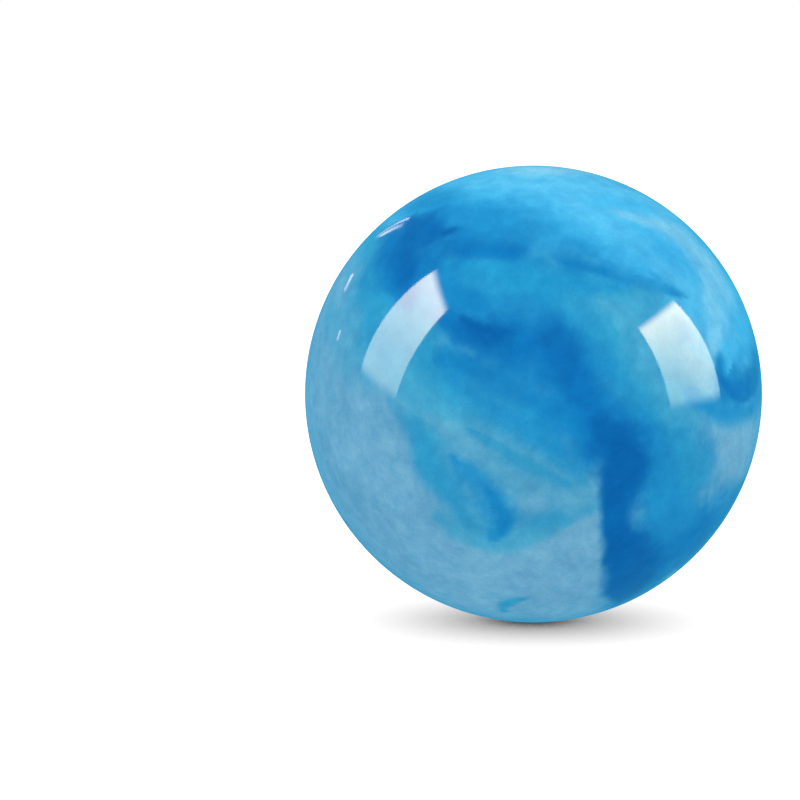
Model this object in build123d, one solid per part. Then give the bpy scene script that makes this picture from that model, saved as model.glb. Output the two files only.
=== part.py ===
"""Inflatable play ball: a thin moulded vinyl skin with a self-sealing needle valve.

Frame: the origin is the ball's centre, +Z is up, and +Y is the valve's axis, pointing out of
the ball. Every piece but the valve's slit and lips is a body turned about the Y axis, so a
profile is drawn in the XY plane with x as the radius and y as the height along that axis.
Sizes are in millimetres.
"""

import os
from math import asin, cos, radians, sin, sqrt

from build123d import *

# The ball
BALL_DIAMETER = 216.0        # pumped up, the usual playground size
SKIN_WALL = 1.1              # vinyl, the same all round
SEAM_WIDTH = 1.2             # the parting line where the two mould halves met
SEAM_HEIGHT = 0.12

# The shallow dish that keeps the valve below the ball's surface
DISH_DIAMETER = 20.0
DISH_DEPTH = 0.9             # below the top of the sphere
DISH_RIM_FILLET = 9.0

# The rubber core, from its head inwards
HEAD_DIAMETER = 7.0
HEAD_THICKNESS = 1.4
HEAD_RECESS = 0.3            # below the collar around it
HEAD_EDGE = 0.3
NECK_DIAMETER = 5.0
NECK_LENGTH = 4.0
BULB_DIAMETER = 7.6          # wider than the neck, so that pressure can't push the core out
BULB_LENGTH = 2.0
BULB_TAPER = 1.0             # length of the cone at each end of the bulb
TAIL_LENGTH = 6.5            # inwards from the bulb, ending in two lips
LIP_LENGTH = 4.5             # the part of the tail that narrows to the lips
LIP_THICKNESS = 1.5          # both lips together, at the tip

# The way that a pump's needle takes through the core
NEEDLE_BORE_DIAMETER = 1.9   # grips a 2 mm needle
NEEDLE_BORE_LENGTH = 8.0
NEEDLE_BORE_TIP = 0.5        # length of the cone that ends the bore
FUNNEL_DIAMETER = 3.2
FUNNEL_DEPTH = 1.2
SLIT_WIDTH = 3.0
SLIT_GAP = 0.12              # between the lips, which air pressure presses shut

# The vinyl housing that is fused to the skin and grips the core
COLLAR_RIM = 1.5             # beside the head
COLLAR_PROUD = 0.4           # above the dish's floor
COLLAR_EDGE = 0.35
BARREL_WALL = 2.0            # beside the bulb
BARREL_END = 1.2             # past the bulb, inwards
BARREL_EDGE = 0.6
FLANGE_DIAMETER = 27.0
FLANGE_THICKNESS = 1.7       # at the barrel
FLANGE_EDGE = 0.6            # at its rim
FLANGE_FILLET = 1.5          # between flange and barrel

# Worked out from the sizes above
ball_radius = BALL_DIAMETER / 2
cavity_radius = ball_radius - SKIN_WALL
dish_radius = DISH_DIAMETER / 2
dish_floor = ball_radius - DISH_DEPTH
dish_rim_height = sqrt(ball_radius**2 - dish_radius**2)
dish_sag = dish_rim_height - dish_floor
dish_curve = (dish_radius**2 + dish_sag**2) / (2 * dish_sag)   # radius of the dish's own sphere
dish_centre = dish_floor + dish_curve

collar_radius = HEAD_DIAMETER / 2 + COLLAR_RIM
collar_top = dish_floor + COLLAR_PROUD
head_top = collar_top - HEAD_RECESS
neck_top = head_top - HEAD_THICKNESS
bulb_cone_top = neck_top - NECK_LENGTH
bulb_top = bulb_cone_top - BULB_TAPER
bulb_bottom = bulb_top - BULB_LENGTH
tail_top = bulb_bottom - BULB_TAPER
tail_tip = tail_top - TAIL_LENGTH
lips_top = tail_tip + LIP_LENGTH
bore_top = head_top - FUNNEL_DEPTH
bore_bottom = bore_top - NEEDLE_BORE_LENGTH
slit_top = bore_bottom - NEEDLE_BORE_TIP
barrel_radius = BULB_DIAMETER / 2 + BARREL_WALL
barrel_bottom = tail_top - BARREL_END
flange_radius = FLANGE_DIAMETER / 2
flange_bottom = dish_floor - SKIN_WALL - FLANGE_THICKNESS
flange_edge_height = sqrt(cavity_radius**2 - flange_radius**2) - FLANGE_EDGE


def turned(*points):
    """A body turned about the Y axis from the closed outline through these (radius, height) points."""
    return revolve(make_face(Polyline(*points, close=True)), Axis.Y)


def turned_sphere(radius, height=0.0):
    """A whole sphere with its centre at this height on the Y axis."""
    low, side, high = (0, height - radius), (radius, height), (0, height + radius)
    return revolve(make_face(ThreePointArc(low, side, high) + Line(high, low)), Axis.Y)


def round_edge_at(body, radius, height, fillet_radius):
    """Rounds the body's circular edge of this radius and height on the Y axis."""
    edges = [
        e for e in body.edges().filter_by(GeomType.CIRCLE)
        if abs(e.radius - radius) < 0.01 and abs(e.arc_center.Y - height) < 0.01
    ]
    return fillet(edges, fillet_radius)


def ball_with_seam():
    """The solid ball, with the low bead of the mould's parting line round its middle."""
    half_seam = asin(SEAM_WIDTH / 2 / ball_radius)

    def on_ball(angle):
        return ball_radius * cos(angle), ball_radius * sin(angle)

    low_side = ThreePointArc((0, -ball_radius), on_ball(radians(-45)), on_ball(-half_seam))
    bead = ThreePointArc(low_side @ 1, (ball_radius + SEAM_HEIGHT, 0), on_ball(half_seam))
    high_side = ThreePointArc(bead @ 1, on_ball(radians(45)), (0, ball_radius))
    outline = low_side + bead + high_side + Line(high_side @ 1, low_side @ 0)
    return revolve(make_face(outline), Axis.Y)


def cavity():
    """The air space inside the skin, which follows the dish at the skin's thickness."""
    return turned_sphere(cavity_radius) - turned_sphere(dish_curve + SKIN_WALL, dish_centre)


def cylinder(radius, low, high):
    return turned((0, low), (radius, low), (radius, high), (0, high))


def ball_skin():
    """The skin: one moulded shell with a dish, and a hole in the dish for the housing's collar."""
    dished = ball_with_seam() - turned_sphere(dish_curve, dish_centre)
    dished = round_edge_at(dished, dish_radius, dish_rim_height, DISH_RIM_FILLET)
    return dished - cavity() - cylinder(collar_radius, barrel_bottom, ball_radius)


def core_outside():
    """The rubber core's outer shape before its tail is narrowed to lips."""
    head, neck, bulb = HEAD_DIAMETER / 2, NECK_DIAMETER / 2, BULB_DIAMETER / 2
    return turned(
        (0, head_top), (head, head_top), (head, neck_top), (neck, neck_top),
        (neck, bulb_cone_top), (bulb, bulb_top), (bulb, bulb_bottom),
        (neck, tail_top), (neck, tail_tip), (0, tail_tip),
    )


def valve_housing():
    """The housing: collar, flange against the inside of the skin, and barrel round the core."""
    under_skin = turned(
        (0, ball_radius), (flange_radius, ball_radius), (flange_radius, flange_edge_height),
        (barrel_radius, flange_bottom), (barrel_radius, barrel_bottom), (0, barrel_bottom),
    )
    under_skin = round_edge_at(under_skin, barrel_radius, flange_bottom, FLANGE_FILLET)
    under_skin = round_edge_at(under_skin, barrel_radius, barrel_bottom, BARREL_EDGE)
    collar = cylinder(collar_radius, flange_bottom, collar_top)
    collar = round_edge_at(collar, collar_radius, collar_top, COLLAR_EDGE)
    head_well = cylinder(HEAD_DIAMETER / 2, neck_top, ball_radius)
    return (under_skin & cavity()) + collar - head_well - core_outside()


def lips_cutter():
    """The two wedges that narrow the round tail to a flat pair of lips, one each side of the slit."""
    reach = NECK_DIAMETER           # clear of the tail
    thick, thin = NECK_DIAMETER / 2, LIP_THICKNESS / 2
    wedge = make_face(Polyline(
        (thick, lips_top), (thin, tail_tip), (thin, tail_tip - reach),
        (thick + reach, tail_tip - reach), (thick + reach, lips_top), close=True,
    ))
    one_side = extrude(wedge, amount=reach, both=True)
    return one_side + mirror(one_side, Plane.YZ)


def needle_way():
    """Funnel, gripping bore and slit, through which the needle reaches the air inside."""
    funnel, bore = FUNNEL_DIAMETER / 2, NEEDLE_BORE_DIAMETER / 2
    hole = turned(
        (0, head_top), (funnel, head_top), (bore, bore_top), (bore, bore_bottom), (0, slit_top),
    )
    slit = Pos(0, (bore_bottom + tail_tip) / 2, 0) * Box(
        SLIT_GAP, bore_bottom - tail_tip, SLIT_WIDTH
    )
    return hole + slit


def valve_core():
    """The self-sealing rubber core."""
    core = round_edge_at(core_outside(), HEAD_DIAMETER / 2, head_top, HEAD_EDGE)
    return core - lips_cutter() - needle_way()


os.makedirs("parts", exist_ok=True)
for name, make in {
    "ball_skin": ball_skin,
    "valve_housing": valve_housing,
    "valve_core": valve_core,
}.items():
    export_step(make(), f"parts/{name}.step")
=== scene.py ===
"""Inflatable play ball: glossy marbled vinyl, with a needle valve at the back.

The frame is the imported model's: metres, the ball's centre at the origin, +Z up and +Y along
the valve's axis. The skin is a surface turned about that axis, with swirls of pigment painted
on its points. The valve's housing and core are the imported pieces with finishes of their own.
"""

from math import cos, pi, radians, sin, sqrt

import bpy
import numpy as np
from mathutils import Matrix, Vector


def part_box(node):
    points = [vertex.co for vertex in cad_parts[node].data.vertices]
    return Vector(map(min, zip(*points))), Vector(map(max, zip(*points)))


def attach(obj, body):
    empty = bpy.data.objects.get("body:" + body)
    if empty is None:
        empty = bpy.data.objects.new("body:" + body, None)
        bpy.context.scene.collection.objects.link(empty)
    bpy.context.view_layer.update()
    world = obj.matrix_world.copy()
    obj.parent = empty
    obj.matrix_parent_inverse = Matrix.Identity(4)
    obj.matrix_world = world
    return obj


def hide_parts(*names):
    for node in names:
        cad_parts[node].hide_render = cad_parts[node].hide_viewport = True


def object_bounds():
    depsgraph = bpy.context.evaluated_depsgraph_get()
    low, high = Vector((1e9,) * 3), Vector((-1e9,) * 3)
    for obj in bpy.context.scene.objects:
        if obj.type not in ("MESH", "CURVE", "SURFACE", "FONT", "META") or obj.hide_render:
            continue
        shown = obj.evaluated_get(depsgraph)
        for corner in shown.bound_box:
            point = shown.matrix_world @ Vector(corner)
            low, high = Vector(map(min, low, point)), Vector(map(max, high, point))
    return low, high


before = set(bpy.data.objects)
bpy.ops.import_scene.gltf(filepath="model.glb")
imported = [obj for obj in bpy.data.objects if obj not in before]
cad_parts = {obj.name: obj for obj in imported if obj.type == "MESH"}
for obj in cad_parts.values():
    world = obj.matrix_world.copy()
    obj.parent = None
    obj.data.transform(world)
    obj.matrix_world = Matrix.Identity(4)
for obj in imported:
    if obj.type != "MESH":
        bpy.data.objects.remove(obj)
CAD_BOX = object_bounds()

# The skin, in metres
SKIN_LOW, SKIN_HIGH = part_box("ball_skin")
RADIUS = -SKIN_LOW[1]                    # measured where there is neither dish nor seam
SEAM_HEIGHT = SKIN_HIGH[0] - RADIUS
SEAM_HALF_WIDTH = 0.0006
WALL = 0.0011
DISH_RADIUS = 0.010                      # the shallow dish round the valve
DISH_DEPTH = 0.0009
DISH_EASE = 0.0004                       # how gently the dish runs out into the ball
COLLAR_RADIUS = 0.005                    # the housing's collar fills a hole of this size
COLUMNS = 352                            # of the skin's mesh, round the valve's axis
OUTER_ROWS = 200
INNER_ROWS = 39

# The camera and the studio
LENS = 135                               # millimetres, as is the sensor
SENSOR = 36
ELEVATION = 5                            # degrees above the horizon
BALL_SHARE = 0.5705                      # the ball's width as a share of the picture's
BALL_RIGHT = 0.1659                      # of the picture's width, from its middle
BALL_UP = 0.0081

# Pigments of the marbling, as display red, green and blue
DEEP = (2, 98, 172)
ROYAL = (6, 112, 184)
STRONG = (14, 124, 190)
BLUE = (28, 140, 200)
SEA = (30, 149, 203)
TEAL = (42, 152, 199)
LAGOON = (70, 164, 203)
AZURE = (66, 181, 233)
BRIGHT = (90, 193, 238)
POWDER = (124, 200, 234)
FOAM = (160, 217, 240)
HAZE = (107, 170, 205)
MILK = (120, 178, 207)
SHOAL = (90, 166, 202)

STREAKING = 0.5                          # how far noise draws a swirl's edge out along its path
COARSE_BEND = 0.012                      # how far the clouds carry the swirls, in ball radii
FINE_BEND = 0.010
FEATHERING = 2.0                         # how far wisps break up an edge
TONE_SWING = 0.07                        # of each cloud that varies the tone
TONE_BY_CHANNEL = (1.6, 1.0, 0.6)        # red swings most, and blue least

# Colours of the studio and of what the shaders mix
WHITE = (1, 1, 1, 1)
VEIN_BLUE = (0.45, 0.72, 0.86, 1)
GLOSS_BLUE = (0.05, 0.40, 0.68, 1)
SHADOW_REACH = 1.0                       # metres within which the ball shades the floor
OPEN_FLOOR = 2.17                        # full white wherever over 1 / 2.17 of the sky is open
SOFTBOX_DISTANCE = 0.05                  # metres from the ball, near, so that few slanted rays meet it
SLIT_DISTANCE = 1.8                      # metres from the ball
PANEL_POINTS = 13                        # along each side of a lit panel
PANEL_FRINGE = 0.05                      # of its height, over which each end of it fades

# Swirls in the order in which they were laid: pigment, strength, how far it fades to the left
# and to the right of its path (1 is a hard edge), then the path's points as longitude, latitude
# and half width in degrees. Longitude 0 faces -Y, and it grows towards +X.
SWIRLS = [
    # washes over the crown and the far side
    (AZURE, 1.0, 2.0, 2.0, (-70, 74, 12), (50, 80, 12), (130, 74, 13), (190, 70, 13), (250, 68, 12)),
    (BLUE, 0.95, 1.9, 1.9, (94, 32, 13), (112, 22, 15), (134, 22, 16), (156, 30, 15), (178, 42, 13),
     (200, 50, 11)),
    (TEAL, 0.9, 2.1, 2.1, (96, -8, 11), (114, -14, 13), (138, -14, 14), (162, -6, 14), (182, 6, 12),
     (196, 18, 9)),
    (STRONG, 0.95, 2.0, 1.9, (92, -38, 11), (112, -44, 12), (138, -48, 11), (164, -42, 10),
     (186, -32, 7)),
    (BLUE, 0.9, 2.0, 2.0, (196, 52, 8), (218, 42, 12), (240, 40, 12), (258, 46, 8)),
    (AZURE, 0.8, 2.2, 2.2, (216, 20, 7), (232, 10, 9), (248, 6, 8), (260, 10, 4)),
    (TEAL, 0.9, 2.2, 2.2, (206, -28, 7), (226, -37, 10), (246, -38, 9), (262, -32, 5)),
    # upper cap
    (AZURE, 1.0, 1.7, 1.35, (-105, 55, 12), (-75, 62, 13), (-45, 64, 14), (-10, 62, 16), (20, 55, 17),
     (45, 43, 17), (75, 30, 15), (100, 22, 12)),
    (BRIGHT, 1.0, 2.2, 2.2, (-80, 72, 6), (-40, 73, 7), (0, 70, 7), (35, 66, 7), (70, 58, 7),
     (95, 46, 7)),
    (FOAM, 0.9, 2.0, 2.0, (-90, 84, 5), (0, 83, 7), (70, 79, 7)),
    (POWDER, 0.9, 2.2, 2.4, (38, 54, 1.5), (48, 51, 2.6), (57, 46, 3.6), (64, 40, 4), (70, 33, 4),
     (73, 26, 3)),
    (AZURE, 0.95, 2.2, 2.2, (44, 32, 4), (50, 24, 6), (55, 15, 6), (56, 7, 4)),
    (BRIGHT, 0.8, 2.2, 2.4, (40, 36, 2), (48, 30, 4), (55, 26, 4.5), (61, 20, 4), (62, 12, 3)),
    (AZURE, 0.9, 2.6, 1.6, (30, 48, 1.5), (44, 44, 2.5), (55, 37, 3), (62, 28, 3), (68, 20, 4),
     (76, 14, 5)),
    (POWDER, 0.9, 2.2, 2.2, (57, 49, 2.5), (63, 43, 4.5), (67, 35, 5), (67, 27, 3.5)),
    (BRIGHT, 0.6, 2.6, 2.6, (18, 58, 3), (27, 51, 4), (36, 44, 3)),
    (AZURE, 0.7, 2.2, 2.2, (36, 60, 2), (46, 57.5, 3.2), (58, 55, 2.4)),
    # wash under everything in the middle
    (BLUE, 0.95, 1.8, 1.9, (-42, 28, 6), (-26, 27, 9), (-10, 25, 11), (8, 21, 12), (22, 8, 12),
     (32, -8, 12), (40, -22, 11)),
    (TEAL, 0.9, 2.2, 2.1, (-44, 15, 4), (-32, 10, 7), (-20, 4, 9), (-10, 0, 9), (2, -7, 7),
     (10, -14, 4)),
    (SEA, 0.95, 2.0, 2.0, (-40, 34, 3), (-28, 36, 5), (-12, 36, 6), (4, 34, 6), (18, 31, 6),
     (30, 26, 5), (40, 20, 3)),
    # band that the cap ends in
    (BLUE, 1.0, 2.2, 2.0, (-88, 60, 4), (-66, 58, 5), (-45, 55, 6), (-28, 51, 7), (-14, 48, 6),
     (-4, 46, 3)),
    (BLUE, 0.6, 2.6, 2.6, (-24, 50, 5), (-8, 48, 6), (6, 45, 5), (18, 41, 3)),
    (ROYAL, 0.7, 2.4, 2.0, (-60, 44, 3), (-45, 44, 4), (-30, 42.5, 4), (-16, 42, 2.6), (-4, 42, 1.6)),
    (ROYAL, 0.6, 2.4, 1.8, (-24, 41, 1.2), (-15, 40.5, 1.6), (-6, 40.5, 1.2)),
    # below the band
    (TEAL, 0.8, 2.2, 2.2, (12, 26, 3), (20, 18, 5.5), (27, 6, 6.5), (34, -6, 7), (42, -16, 7)),
    (LAGOON, 0.9, 2.2, 2.2, (19, 27, 2), (26, 21, 3.5), (30, 12, 4.5), (36, 3, 4), (43, -1, 2)),
    (STRONG, 0.3, 4.0, 2.2, (-8, 39.5, 1.0), (3, 39.5, 1.6), (12, 38, 1.6), (20, 35.5, 1.0)),
    (STRONG, 0.65, 4.5, 1.7, (8, 38.5, 0.5), (15, 37, 1.0), (24, 34, 1.4), (33, 31, 1.5),
     (43, 28.5, 0.8)),
    # partly the marbling's own pale teal, partly a painted glow of the right highlight's soft upper
    # left edge
    (LAGOON, 0.7, 2.2, 2.2, (24, 27, 2), (31, 27, 3.5), (36, 24, 3.5), (36, 18, 2.5)),
    # left side
    (TEAL, 0.95, 2.0, 2.2, (-84, 46, 4), (-70, 42, 5), (-59, 37, 6), (-50, 27, 6), (-46, 20, 4)),
    (LAGOON, 0.6, 2.2, 2.4, (-72, 22, 2), (-60, 19, 4), (-52, 13, 4), (-44, 8, 3)),
    (TEAL, 0.9, 2.2, 2.2, (-46, 24, 3), (-36, 19, 4), (-27, 14, 4), (-20, 8, 3)),
    # deep patch at the upper left
    (ROYAL, 1.0, 2.2, 2.0, (-58, 45, 4), (-51, 42, 6.5), (-44, 38, 7), (-39, 33, 6), (-36, 28, 3)),
    (DEEP, 1.0, 2.6, 1.9, (-54, 50, 1.6), (-47, 49, 3.6), (-40, 47.5, 4.0), (-34, 47, 2.4),
     (-30, 47.5, 1.2)),
    (DEEP, 0.85, 2.4, 2.4, (-48, 45, 2.5), (-44, 40, 3.5), (-40, 35, 2.5)),
    (STRONG, 0.7, 2.2, 2.2, (-33, 39, 2), (-29, 34, 4), (-23, 28, 4.5), (-15, 26, 2.5)),
    # middle band
    (ROYAL, 0.95, 2.2, 1.7, (-22, 22, 2), (-16, 19, 4), (-8, 17, 5), (2, 16, 5.5), (8, 9, 6),
     (11, 2, 5.5), (15, -6, 5)),
    (STRONG, 0.85, 2.2, 2.2, (-22, 13, 2), (-13, 10, 4), (-4, 6, 5), (5, 0, 6), (12, -5, 4)),
    (BLUE, 0.7, 2.4, 2.4, (-18, 6, 3), (-9, 0, 3.5), (1, -5, 4), (9, -11, 3)),
    (DEEP, 1.0, 2.4, 2.0, (-18, 22, 0.8), (-14, 20.5, 2.2), (-10, 19.5, 2.4), (-6, 20, 1.0)),
    (DEEP, 0.6, 2.4, 2.2, (3, 20, 1.6), (7, 17, 3.0), (9, 11, 2.6), (10, 5, 1.5)),
    # the long streak down to the right
    (STRONG, 1.0, 2.0, 1.7, (92, -24, 7), (74, -31, 9), (59, -36, 12), (46, -38, 9), (48, -50, 9),
     (58, -61, 6)),
    (ROYAL, 0.7, 2.2, 2.2, (80, -32, 4), (64, -38, 7), (52, -42, 7), (54, -54, 5)),
    (BLUE, 0.9, 2.2, 2.0, (27, -2, 2), (31, -12, 4), (36, -22, 6), (42, -28, 6)),
    (ROYAL, 0.9, 2.2, 2.2, (11, 6, 2), (15, 0, 4), (20, -6, 5.5), (23, -12, 5)),
    (DEEP, 0.8, 2.0, 2.1, (15, -2, 1.4), (19, -6, 4), (22, -10, 5.4), (23, -15, 4.8), (24, -20, 3.6)),
    (DEEP, 1.0, 1.8, 1.35, (22, -12, 5.0), (22.3, -17, 5.4), (22.8, -24, 4.6), (25.5, -31, 4.3),
     (31, -38, 5.8), (35.5, -44, 6.6), (40.5, -51, 6.6), (51, -58, 3.4)),
    # the pale area's shore, comma and halo
    (LAGOON, 0.8, 2.4, 2.4, (-34, 10, 2), (-26, 2, 4), (-14, -6, 5), (-2, -13, 5), (8, -19, 4),
     (14, -22, 2)),
    (TEAL, 0.85, 2.4, 1.8, (-36, 2, 1), (-29, -6, 2.5), (-25, -14, 3.5), (-20, -21, 3.5),
     (-16, -28, 3.5), (-9, -31, 2)),
    (LAGOON, 0.9, 2.4, 1.6, (-25, -27, 1.5), (-19, -31, 2.8), (-9, -33, 3.5), (3, -29, 3.5),
     (11, -23, 2)),
    (HAZE, 0.6, 2.2, 2.2, (-40, 4, 2), (-36, -1, 3.5), (-32, -7, 3)),
    (TEAL, 0.6, 2.4, 2.4, (-6, -23, 2), (-2, -26, 2.8), (4, -26, 2.2), (13, -24, 1.5)),
    (SHOAL, 0.85, 2.4, 2.0, (-27, -2, 2), (-18, -5.5, 2.8), (-8, -9.5, 3.4), (2, -16, 4), (11, -21, 3)),
    (TEAL, 0.7, 2.4, 2.4, (-29, -3, 2), (-25, -9, 3.2), (-21, -16, 3)),
    (TEAL, 0.7, 1.6, 3.0, (-14, -4, 0.6), (-7, -8, 1.2), (0, -12, 1.4), (8, -16, 0.8)),
    (BLUE, 0.85, 1.8, 3.2, (-19, -10, 0.8), (-15, -13.5, 1.8), (-11.5, -17.5, 2.4), (-8.8, -22.5, 2.8),
     (-7.8, -27.5, 2.5), (-10.5, -31.5, 1.3)),
    (STRONG, 0.75, 2.2, 2.6, (-10.7, -18.5, 0.6), (-8, -23, 1.3), (-7, -27, 1.4), (-8, -30, 0.7)),
    # patches on the right
    (BLUE, 0.9, 2.2, 1.8, (42, 3, 2), (52, -1, 3), (62, -2, 3.5), (74, 0, 4), (90, 5, 4)),
    (AZURE, 0.95, 2.0, 1.8, (56, 15, 3), (64, 13, 5), (73, 13, 6), (88, 16, 7)),
    (POWDER, 0.8, 2.2, 2.2, (60, 34, 2), (58, 26, 3.5), (55, 20, 3.5), (51, 15, 2)),
    (STRONG, 0.9, 2.4, 1.8, (52, 11, 1.5), (52, 5, 3.4), (57, 4, 4), (65, 5.5, 4), (73, 7, 4),
     (84, 12, 4)),
    (ROYAL, 0.85, 4.0, 1.35, (52, 7, 0.8), (57, 3, 1.3), (64, 2, 1.6), (72, 4.5, 1.8), (80, 9, 1.8),
     (88, 14, 1.2)),
    (MILK, 0.6, 2.2, 2.2, (56, -9, 3), (66, -10, 5), (78, -8, 5)),
    # bottom swirl
    (TEAL, 0.9, 2.0, 1.8, (-17, -63, 1.0), (-14, -59, 1.4), (-9, -56, 1.6), (-3, -55, 0.8)),
    # far side, from the right round to the left
    (AZURE, 0.95, 1.9, 1.8, (82, 24, 8), (104, 20, 11), (126, 28, 9), (148, 40, 8), (166, 52, 6)),
    (POWDER, 0.8, 2.2, 2.4, (96, 44, 3), (118, 52, 5), (144, 60, 5), (172, 64, 4)),
    (ROYAL, 0.95, 2.2, 1.5, (86, 12, 3), (104, 2, 5), (124, -2, 6), (142, 6, 6), (156, 18, 5),
     (166, 32, 3)),
    (DEEP, 0.95, 2.0, 1.3, (96, 6, 1.6), (110, -3, 3.4), (126, -6, 4.4), (142, -1, 3.4), (152, 8, 1.6)),
    (SHOAL, 0.8, 2.4, 2.2, (98, -20, 2), (112, -24, 4), (128, -22, 5), (144, -16, 3)),
    (LAGOON, 0.8, 2.4, 2.2, (148, 4, 2), (164, 0, 4), (178, -8, 5), (184, -20, 3)),
    (DEEP, 0.9, 1.8, 1.35, (104, -34, 1.4), (120, -42, 4), (140, -45, 4.6), (160, -38, 3.4),
     (176, -26, 1.4)),
    (ROYAL, 0.8, 2.4, 2.0, (160, 60, 3), (182, 50, 5), (202, 38, 5), (214, 28, 3)),
    (ROYAL, 0.95, 1.5, 2.4, (174, 32, 1.6), (190, 24, 4), (204, 14, 5), (212, 0, 5), (209, -14, 4),
     (198, -24, 1.8)),
    (DEEP, 0.9, 1.25, 2.4, (184, 27, 0.9), (196, 20, 2.4), (206, 9, 3), (210, -3, 2.6), (206, -14, 1)),
    (TEAL, 0.8, 2.4, 2.4, (214, 2, 2), (224, -8, 3.5), (238, -20, 4), (252, -24, 3)),
    (BLUE, 0.85, 1.8, 3.0, (226, -14, 1), (237, -10, 2.6), (247, -15, 3), (250, -26, 2.4),
     (243, -33, 1)),
    (STRONG, 0.7, 2.6, 1.8, (214, 30, 1.2), (228, 24, 1.8), (244, 22, 1.8), (260, 26, 1.2)),
    (STRONG, 0.8, 2.2, 2.0, (228, 56, 3), (242, 50, 5), (256, 43, 5), (266, 33, 3)),
    (POWDER, 0.7, 2.2, 2.4, (232, 12, 2), (246, 8, 3), (260, 8, 2)),
    (LAGOON, 0.8, 2.2, 2.2, (212, -46, 3), (232, -52, 5), (256, -50, 5), (276, -42, 3)),
    # underneath
    (STRONG, 0.9, 2.0, 1.8, (60, -62, 4), (90, -68, 7), (130, -72, 7), (170, -68, 6), (205, -58, 4)),
    (LAGOON, 0.8, 2.2, 2.2, (-60, -70, 3), (-20, -78, 6), (40, -82, 7), (120, -84, 6)),
    (TEAL, 0.8, 2.2, 1.8, (214, -66, 3), (236, -60, 5), (262, -58, 5), (284, -52, 3)),
]

# Marbling


def display_to_linear(colour):
    """Display values from 0 to 255 as linear light from 0 to 1."""
    c = np.asarray(colour, float) / 255
    return np.where(c <= 0.04045, c / 12.92, ((c + 0.055) / 1.055) ** 2.4)


def direction(longitude, latitude):
    """The unit vector towards this longitude and latitude, which are in degrees."""
    lon, lat = np.radians(longitude), np.radians(latitude)
    return np.stack([np.sin(lon) * np.cos(lat), -np.cos(lon) * np.cos(lat), np.sin(lat)], -1)


def smooth(t):
    """3t^2 - 2t^3 between 0 and 1: a step with rounded ends."""
    t = np.clip(t, 0, 1)
    return t * t * (3 - 2 * t)


def lattice_noise(points, seed):
    """Random numbers on a cubic lattice, eased from each lattice point to the next."""
    lattice = np.random.default_rng(seed).random((16, 16, 16))
    cell = np.floor(points).astype(int)
    along = smooth(points - cell)
    total = np.zeros(len(points))
    for corner in np.ndindex(2, 2, 2):
        share = np.prod(np.where(corner, along, 1 - along), axis=1)
        i, j, k = ((cell + corner) % 16).T
        total += share * lattice[i, j, k]
    return total


def cloud(points, scale, octaves, seed):
    """A sum of octaves of noise, each twice as fine and half as strong as the last, from -1 to 1."""
    total = np.zeros(len(points))
    for n in range(octaves):
        total += lattice_noise(points * scale * 2**n + 7.3 * n + 20, seed + n) / 2**n
    return total / (1 - 0.5**octaves) - 1


def cloud_vector(points, scale, octaves, seed):
    """Three clouds as a vector."""
    return np.stack([cloud(points, scale, octaves, seed + 10 * axis) for axis in range(3)], -1)


def smooth_path(knots, per_span=8):
    """Catmull-Rom curve through the knots on the unit sphere, and its half width along it."""
    knots = np.array(knots, float)
    way = np.column_stack([direction(knots[:, 0], knots[:, 1]), np.radians(knots[:, 2])])
    way = np.vstack([2 * way[0] - way[1], way, 2 * way[-1] - way[-2]])
    t = np.arange(per_span)[:, None] / per_span
    spans = []
    for a, b, c, d in zip(way, way[1:], way[2:], way[3:]):
        bend = (2 * a - 5 * b + 4 * c - d) * t**2 + (3 * b - a - 3 * c + d) * t**3
        spans.append(b + ((c - a) * t + bend) / 2)
    curve = np.vstack([*spans, way[-2:-1]])
    curve[:, :3] /= np.linalg.norm(curve[:, :3], axis=1, keepdims=True)
    return curve[:, :3], curve[:, 3]


def coverage(points, fade_left, fade_right, knots, seed):
    """How much of a swirl each point gets: 1 near its path, falling smoothly to 0 across its edge.

    The distance from the path is counted in half widths. The swirl ends at the fade, and is
    whole up to 2 minus the fade, so its edge is half covered at 1. Noise that is drawn out
    along the path pulls the edge into fine streaks.
    """
    way, half_width = smooth_path(knots)
    heading = np.gradient(way, axis=0)
    nearest = (points @ way.T).argmax(axis=1)
    offset = points - way[nearest]
    ahead = heading[nearest]
    step = np.einsum("ij,ij->i", offset, ahead) / np.einsum("ij,ij->i", ahead, ahead)
    step = np.clip(step, -0.5, 0.5)
    along = nearest + step
    apart = np.linalg.norm(offset - step[:, None] * ahead, axis=1)
    apart /= np.interp(along, np.arange(len(way)), half_width)
    side = np.sign(np.einsum("ij,ij->i", points, np.cross(way[nearest], ahead)))
    drawn_out = np.column_stack([along * 0.2, side * apart * 2.2 + 90, np.full(len(along), 0.5)])
    streaks = lattice_noise(drawn_out, seed) - 0.5
    fade = np.where(side > 0, fade_left, fade_right)
    apart *= 1 + STREAKING * np.minimum(fade - 1, 1) * streaks
    whole = np.maximum(2 - fade, 0)
    return smooth((fade - apart) / (fade - whole))


def marbling(points):
    """Display colour of the marbling at each point of the unit sphere.

    The place is bent by coarse and fine clouds, the swirls are laid over the ground one after
    another with their edges broken into wisps, and two faint clouds vary the tone of it all.
    """
    bent = points + COARSE_BEND * cloud_vector(points, 3.0, 2, 1)
    bent += FINE_BEND * cloud_vector(points, 10.0, 3, 50)
    bent /= np.linalg.norm(bent, axis=1, keepdims=True)
    wisps = cloud(bent, 11.0, 3, 90) + 0.25 * cloud(bent, 45.0, 2, 96)
    colour = np.tile(np.array(HAZE, float), (len(points), 1))
    for seed, (pigment, strength, left, right, *knots) in enumerate(SWIRLS):
        share = coverage(bent, left, right, knots, seed)
        share = strength * np.clip(share + FEATHERING * share * (1 - share) * wisps, 0, 1)[:, None]
        colour = colour * (1 - share) + np.array(pigment) * share
    tone = 1 + TONE_SWING * cloud(bent, 5.0, 3, 120) + TONE_SWING * cloud(bent, 20.0, 3, 140)
    return colour * tone[:, None] ** np.array(TONE_BY_CHANNEL)


# Surfaces


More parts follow.
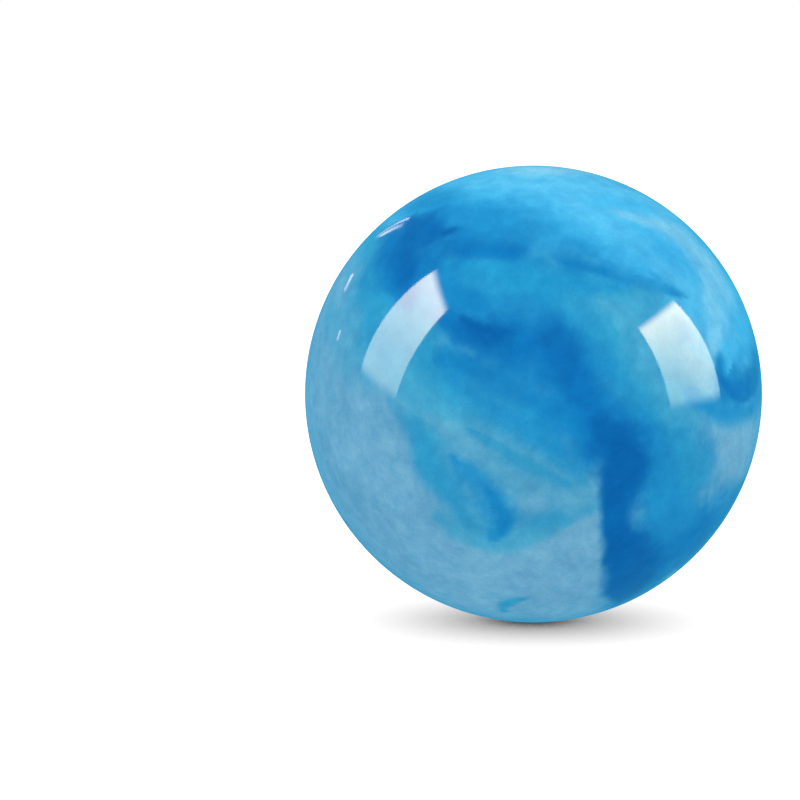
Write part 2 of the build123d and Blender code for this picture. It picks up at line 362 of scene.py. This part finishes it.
def outer_height(radius):
    """The skin's outside near the valve, as height along its axis over distance from it.

    The lower of the ball's own sphere and the dish's, which curves the other way, eased into
    one another: half of their sum less the root of their difference squared and a small square.
    """
    ball = np.sqrt(RADIUS**2 - radius**2)
    rim = sqrt(RADIUS**2 - DISH_RADIUS**2)
    floor = RADIUS - DISH_DEPTH
    sag = rim - floor
    curve = (DISH_RADIUS**2 + sag**2) / (2 * sag)
    dish = floor + curve - np.sqrt(curve**2 - np.minimum(radius, curve) ** 2)
    return (ball + dish - np.sqrt((ball - dish) ** 2 + DISH_EASE**2)) / 2


def skin_profile():
    """(distance from the valve's axis, height along it) from the far pole out and back inside.

    Outside: the sphere with the seam's bead, a parabola across, then the dish down to the
    hole's edge. Inside: the same shape one wall further in.
    """
    hole = np.arcsin(COLLAR_RADIUS / RADIUS)
    turn = np.unique(np.concatenate([
        np.linspace(hole, pi, OUTER_ROWS),
        np.linspace(hole, hole * 4, 20),
        pi / 2 + np.linspace(-1, 1, 9) * SEAM_HALF_WIDTH / RADIUS,
    ]))[::-1]
    across = (turn - pi / 2) * RADIUS / SEAM_HALF_WIDTH
    reach = RADIUS + SEAM_HEIGHT * np.maximum(1 - across**2, 0)
    outside = np.column_stack([reach * np.sin(turn), reach * np.cos(turn)])
    near_valve = turn < pi / 4
    outside[near_valve, 1] = outer_height(outside[near_valve, 0])
    turn = np.concatenate([
        np.linspace(hole, hole * 4, 12),
        np.linspace(hole * 4, pi, INNER_ROWS)[1:],
    ])
    inside = np.column_stack([np.sin(turn), np.cos(turn)]) * (RADIUS - WALL)
    near_valve = turn < pi / 4
    inside[near_valve, 1] = outer_height(inside[near_valve, 0]) - WALL
    inside[0] = COLLAR_RADIUS, outside[-1, 1] - WALL
    return outside, inside


def turned_surface(name, profile):
    """A closed surface turned about the Y axis, from a profile whose ends lie on that axis.

    Point (i, j) is profile point i turned through 2 pi j / COLUMNS: x = r sin, z = r cos, y = h.
    """
    angle = np.arange(COLUMNS) * 2 * pi / COLUMNS
    radius, height = profile[1:-1, :1], profile[1:-1, 1:]
    rings = np.stack([radius * np.sin(angle), height + 0 * angle, radius * np.cos(angle)], -1)
    poles = [[0, profile[0, 1], 0], [0, profile[-1, 1], 0]]
    points = np.vstack([rings.reshape(-1, 3), poles])
    row = np.arange(len(radius) - 1)[:, None] * COLUMNS
    here = np.arange(COLUMNS)
    after = (here + 1) % COLUMNS
    quads = np.stack([row + here, row + after, row + COLUMNS + after, row + COLUMNS + here], -1)
    first, last = len(points) - 2, len(points) - 1
    end = (len(radius) - 1) * COLUMNS
    start_fan = np.stack([after, here, np.full(COLUMNS, first)], -1)
    end_fan = np.stack([end + here, end + after, np.full(COLUMNS, last)], -1)
    mesh = bpy.data.meshes.new(name)
    faces = [*quads.reshape(-1, 4).tolist(), *start_fan.tolist(), *end_fan.tolist()]
    mesh.from_pydata(points.tolist(), [], faces)
    mesh.shade_smooth()
    piece = bpy.data.objects.new(name, mesh)
    bpy.context.scene.collection.objects.link(piece)
    return piece, points


def marbled_skin():
    """The skin, one closed shell with its marbling as a colour on each point."""
    outside, inside = skin_profile()
    piece, points = turned_surface("marbled_skin", np.vstack([outside, inside]))
    rays = points / np.linalg.norm(points, axis=1, keepdims=True)
    colours = np.ones((len(points), 4))
    colours[:, :3] = np.clip(display_to_linear(marbling(rays)), 0, 1)
    layer = piece.data.attributes.new("marbling", "FLOAT_COLOR", "POINT")
    layer.data.foreach_set("color", colours.ravel())
    piece.data.materials.append(marbled_vinyl())
    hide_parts("ball_skin")
    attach(piece, "root")


# Shader maths


class Value:
    """A socket of a node tree. Arithmetic on it adds Math nodes, and node() adds any other node."""

    def __init__(self, tree, socket=None):
        self.tree = tree
        self.socket = socket

    def node(self, kind, settings=None, inputs=None, output=0):
        """Adds a node of this type, sets it up, then gives its inputs numbers, colours or links."""
        new = self.tree.nodes.new(kind)
        for name, setting in (settings or {}).items():
            setattr(new, name, setting)
        for name, value in (inputs or {}).items():
            if isinstance(value, Value):
                self.tree.links.new(value.socket, new.inputs[name])
            else:
                new.inputs[name].default_value = value
        return Value(self.tree, new.outputs[output] if new.outputs else None)

    def math(self, operation, *numbers):
        return self.node("ShaderNodeMath", {"operation": operation}, dict(enumerate(numbers)))

    def __add__(self, other):
        return self.math("ADD", self, other)

    def __radd__(self, other):
        return self.math("ADD", other, self)

    def __sub__(self, other):
        return self.math("SUBTRACT", self, other)

    def __rsub__(self, other):
        return self.math("SUBTRACT", other, self)

    def __mul__(self, other):
        return self.math("MULTIPLY", self, other)

    def __rmul__(self, other):
        return self.math("MULTIPLY", other, self)

    def __pow__(self, other):
        return self.math("POWER", self, other)

    def step(self, low, high):
        """0 up to low, 1 from high on, and a smooth rise from one to the other."""
        settings = {"interpolation_type": "SMOOTHSTEP"}
        inputs = {"Value": self, "From Min": low, "From Max": high}
        return self.node("ShaderNodeMapRange", settings, inputs)

    def blend(self, start, end):
        """The start colour where this value is 0, the end colour where it is 1."""
        inputs = {0: self, 6: start, 7: end}
        return self.node("ShaderNodeMix", {"data_type": "RGBA"}, inputs, output=2)

    def tinted(self, tint):
        """This colour multiplied by another."""
        settings = {"data_type": "RGBA", "blend_type": "MULTIPLY"}
        return self.node("ShaderNodeMix", settings, {0: 1.0, 6: self, 7: tint}, output=2)

    def noise(self, scale, detail, roughness=0.5, distortion=0.0):
        """Noise from 0 to 1 at this place, with so many lumps to the metre."""
        inputs = {"Vector": self, "Scale": scale, "Detail": detail, "Roughness": roughness}
        return self.node("ShaderNodeTexNoise", None, {**inputs, "Distortion": distortion})

    def bump(self, distance):
        """A normal from this height, which is given in units of distance in metres."""
        return self.node("ShaderNodeBump", None, {"Height": self, "Distance": distance})


def new_material(name):
    """An empty material and the place on the piece, in metres, from which its patterns grow."""
    material = bpy.data.materials.new(name)
    material.use_nodes = True
    material.node_tree.nodes.clear()
    place = Value(material.node_tree).node("ShaderNodeTexCoord", output="Object")
    return material, place


def finish_material(place, sockets):
    """Ends the tree in a Principled shader with these sockets."""
    surface = place.node("ShaderNodeBsdfPrincipled", None, sockets)
    place.node("ShaderNodeOutputMaterial", None, {"Surface": surface})


# Materials


def marbled_vinyl():
    """Glossy marbled vinyl: the painted swirls with fine veins of pigment, mottle and grain.

    A vein lies wherever a slow noise passes through its middle, and a second noise hides most
    of them. The mottle shifts the tint a little and the grain only the tone.
    """
    material, place = new_material("marbled_vinyl")
    swirls = place.node("ShaderNodeAttribute", {"attribute_name": "marbling"})
    current = place.noise(24.0, 3.0, 0.55, 1.2)
    vein = 1 - (current - 0.5).math("ABSOLUTE").step(0.0, 0.02)
    shown = place.noise(16.0, 2.0).step(0.45, 0.65)
    veins = (0.7 * vein * shown).blend(WHITE, VEIN_BLUE)
    mottle = place.noise(170.0, 6.0, 0.8).step(0.3, 0.7)
    mottling = mottle.blend((0.80, 0.93, 0.97, 1), (1.20, 1.07, 1.03, 1))
    tone = 0.84 + 0.32 * place.noise(1300.0, 3.0, 0.7)
    grain = place.node("ShaderNodeCombineColor", None, {0: tone, 1: tone, 2: tone})
    smudges = place.noise(25.0, 4.0, 0.55)
    waves = place.noise(160.0, 2.0, 0.5)
    finish_material(place, {
        "Base Color": swirls.tinted(veins).tinted(mottling).tinted(grain),
        "Roughness": 0.05 + 0.04 * smudges,
        "IOR": 1.5,
        "Normal": waves.bump(0.00001),
    })
    return material


def valve_vinyl():
    """The housing's milky vinyl."""
    material, place = new_material("valve_vinyl")
    mottle = place.noise(500.0, 4.0, 0.6)
    colour = mottle.step(0.3, 0.7).blend((0.16, 0.42, 0.68, 1), (0.26, 0.52, 0.74, 1))
    finish_material(place, {
        "Base Color": colour,
        "Roughness": 0.25 + 0.15 * mottle,
        "Normal": mottle.bump(0.00003),
    })
    return material


def valve_rubber():
    """The core's black rubber, dusty and slightly grained."""
    material, place = new_material("valve_rubber")
    dust = place.noise(900.0, 5.0, 0.6)
    colour = dust.step(0.35, 0.75).blend((0.012, 0.012, 0.014, 1), (0.045, 0.045, 0.048, 1))
    finish_material(place, {
        "Base Color": colour,
        "Roughness": 0.5 + 0.25 * dust,
        "Normal": place.noise(2500.0, 3.0, 0.5).bump(0.00004),
    })
    return material


def repaint(node, material):
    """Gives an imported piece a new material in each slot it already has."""
    for material_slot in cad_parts[node].material_slots:
        material_slot.material = material


# Studio


def camera():
    """A long lens that sees the ball at its share of the picture, a little right of the middle."""
    half_view = SENSOR / 2 / LENS
    limb = BALL_SHARE * half_view
    distance = RADIUS * sqrt(1 + 1 / limb**2)
    tilt = radians(ELEVATION)
    towards_ball = Vector((0, cos(tilt), -sin(tilt)))
    up = Vector((0, sin(tilt), cos(tilt)))
    aim = towards_ball - 2 * half_view * (BALL_RIGHT * Vector((1, 0, 0)) + BALL_UP * up)
    data = bpy.data.cameras.new("camera")
    data.lens = LENS
    data.sensor_width = SENSOR
    eye = bpy.data.objects.new("camera", data)
    eye.location = -distance * towards_ball
    eye.rotation_euler = aim.to_track_quat("-Z", "Y").to_euler()
    bpy.context.scene.collection.objects.link(eye)
    bpy.context.scene.camera = eye


def floor():
    """A wide white floor, bright enough that only the ball's own contact shadow shows on it.

    Its brightness is the root of how open each place on it lies to the sky.
    """
    mesh = bpy.data.meshes.new("floor")
    span = 40.0
    low = CAD_BOX[0][2]
    corners = [(-span, -span, low), (span, -span, low), (span, span, low), (-span, span, low)]
    mesh.from_pydata(corners, [], [(0, 1, 2, 3)])
    material, place = new_material("white_floor")
    inputs = {"Distance": SHADOW_REACH}
    openness = place.node("ShaderNodeAmbientOcclusion", {"samples": 16}, inputs, output="AO")
    strength = (OPEN_FLOOR * openness) ** 0.5
    glow = place.node("ShaderNodeEmission", None, {"Color": WHITE, "Strength": strength})
    place.node("ShaderNodeOutputMaterial", None, {"Surface": glow})
    mesh.materials.append(material)
    ground = bpy.data.objects.new("floor", mesh)
    ground.visible_diffuse = False
    ground.visible_glossy = False
    bpy.context.scene.collection.objects.link(ground)


def surroundings():
    """An even white studio, a little darker below, which the gloss mirrors as a dim pale blue."""
    world = bpy.data.worlds.new("studio")
    world.use_nodes = True
    world.node_tree.nodes.clear()
    tree = Value(world.node_tree)
    ray = tree.node("ShaderNodeLightPath")
    seen = Value(ray.tree, ray.socket.node.outputs["Is Camera Ray"])
    mirrored = Value(ray.tree, ray.socket.node.outputs["Is Glossy Ray"])
    way = tree.node("ShaderNodeTexCoord", output="Generated")
    height = tree.node("ShaderNodeSeparateXYZ", None, {0: way}, output=2)
    even = 1.03 + 0.12 * height
    strength = even * (1 - seen) + seen
    colour = mirrored.blend(WHITE, GLOSS_BLUE)
    back = tree.node("ShaderNodeBackground", None, {"Color": colour, "Strength": strength})
    tree.node("ShaderNodeOutputWorld", None, {"Surface": back})
    bpy.context.scene.world = world


def mirrored_place(longitude, latitude, distance):
    """What the camera sees mirrored at this place on the ball, so far from it.

    A sight line s that meets the ball where its normal is n leaves it along s - 2 (s . n) n.
    """
    normal = direction(longitude, latitude)
    sight = RADIUS * normal - np.array(bpy.context.scene.camera.location)
    sight /= np.linalg.norm(sight)
    return RADIUS * normal + distance * (sight - 2 * (sight @ normal) * normal)


def panel(name, distance, corners, top, bottom):
    """A four-cornered panel that shows in the gloss alone, brighter towards its top edge.

    The corners are top left, top right, bottom right and bottom left, each as the longitude and
    latitude at which the ball mirrors it to the camera. A point at some shares across and up
    lies at those shares between the edges, and the glow grows with the square of its share up.
    The panel runs a fringe past its top and bottom edges and fades out over it, and it is clear
    to a ray that meets it at a slant, as a panel with a louvre is.
    """
    a, b, c, d = (mirrored_place(*corner, distance) for corner in corners)
    upwards = np.linspace(-PANEL_FRINGE, 1 + PANEL_FRINGE, PANEL_POINTS)
    grids = np.meshgrid(np.linspace(0, 1, PANEL_POINTS), upwards)
    across, up = (grid.reshape(-1, 1) for grid in grids)
    points = up * (a + (b - a) * across) + (1 - up) * (d + (c - d) * across)
    cell = np.arange(PANEL_POINTS - 1)
    here = (cell[:, None] * PANEL_POINTS + cell).ravel()
    above = here + PANEL_POINTS
    mesh = bpy.data.meshes.new(name)
    mesh.from_pydata(points.tolist(), [], np.stack([here, here + 1, above + 1, above], -1).tolist())
    mesh.attributes.new("share_up", "FLOAT", "POINT").data.foreach_set("value", up.ravel())
    material, place = new_material(name)
    share = place.node("ShaderNodeAttribute", {"attribute_name": "share_up"}, output=2)
    colour = (share * share).blend((*bottom, 1), (*top, 1))
    glow = place.node("ShaderNodeEmission", None, {"Color": colour, "Strength": 1.0})
    clear = place.node("ShaderNodeBsdfTransparent")
    slant = place.node("ShaderNodeLayerWeight", output="Facing")
    facing = (1 - slant).step(0.2, 0.45)
    ends = share.step(-PANEL_FRINGE, 0.11) * (1 - share.step(0.94, 1 + PANEL_FRINGE))
    surface = place.node("ShaderNodeMixShader", None, {0: facing * ends, 1: clear, 2: glow})
    place.node("ShaderNodeOutputMaterial", None, {"Surface": surface})
    mesh.materials.append(material)
    lamp = bpy.data.objects.new(name, mesh)
    lamp.visible_diffuse = False
    lamp.visible_camera = False
    lamp.visible_shadow = False
    bpy.context.scene.collection.objects.link(lamp)


def studio():
    """The camera, the floor, the even light, and the panels and slits that the gloss mirrors."""
    camera()
    floor()
    surroundings()
    panel("left_softbox", SOFTBOX_DISTANCE, [(-30, 35), (-23, 24.5), (-34.5, 3), (-46.5, 9)],
          (16, 14, 9.5), (4.6, 5.0, 4.2))
    panel("right_softbox", SOFTBOX_DISTANCE, [(27.5, 20), (41, 26.5), (51.5, 2.5), (34.5, 1)],
          (16.5, 13, 8), (3.6, 4.9, 4.0))
    panel("high_slit", SLIT_DISTANCE, [(-58.5, 51.5), (-57, 51), (-69.5, 44), (-70.5, 44)],
          (4, 4, 4), (1.5, 1.5, 1.5))
    panel("high_sheet", SLIT_DISTANCE, [(-58, 49.5), (-56.5, 48), (-65.5, 44.5), (-68.5, 44)],
          (1.2, 1.2, 1.4), (3, 3, 3))
    panel("middle_slit", SLIT_DISTANCE, [(-67, 33), (-65.5, 32.5), (-65, 28), (-66.5, 28)],
          (4, 4, 4), (2, 2, 2))
    panel("low_slit", SLIT_DISTANCE, [(-59.5, 18), (-58.5, 18), (-58.5, 15.5), (-59.5, 15.5)],
          (4, 4, 4), (3, 3, 3))
    bpy.context.scene.view_settings.view_transform = "Standard"


marbled_skin()
repaint("valve_housing", valve_vinyl())
repaint("valve_core", valve_rubber())
studio()
